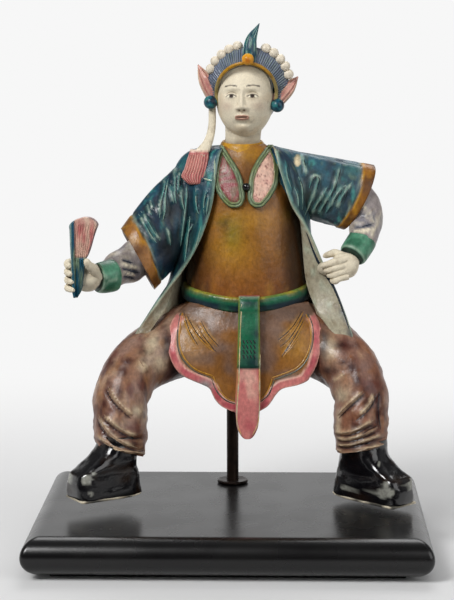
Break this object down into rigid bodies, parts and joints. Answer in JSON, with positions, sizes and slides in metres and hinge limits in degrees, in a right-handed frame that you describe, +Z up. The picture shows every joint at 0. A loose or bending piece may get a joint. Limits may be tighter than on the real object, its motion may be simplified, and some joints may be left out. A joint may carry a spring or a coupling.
{
  "type": "roof ridge figure",
  "caption": "Glazed stoneware roof ridge figure of a warrior in a wide stance, held by a rod above a rectangular black wooden board.",
  "frame": {"origin": "centre of the board's underside", "axes": "+Z up, +X to the viewer's right of the figure's front, -Y towards the viewer"},
  "size_m": [0.254, 0.19, 0.3378],
  "materials": {
    "glaze": "coloured lead glazes over carved stoneware, gloss",
    "bronzed_steel": "dark bronze, satin",
    "black_lacquer": "black satin lacquer"
  },
  "bodies": {
    "root": {"figure": "glaze", "rod": "bronzed_steel", "rod_collar": "bronzed_steel", "wood_base": "black_lacquer"}
  },
  "joints": []
}
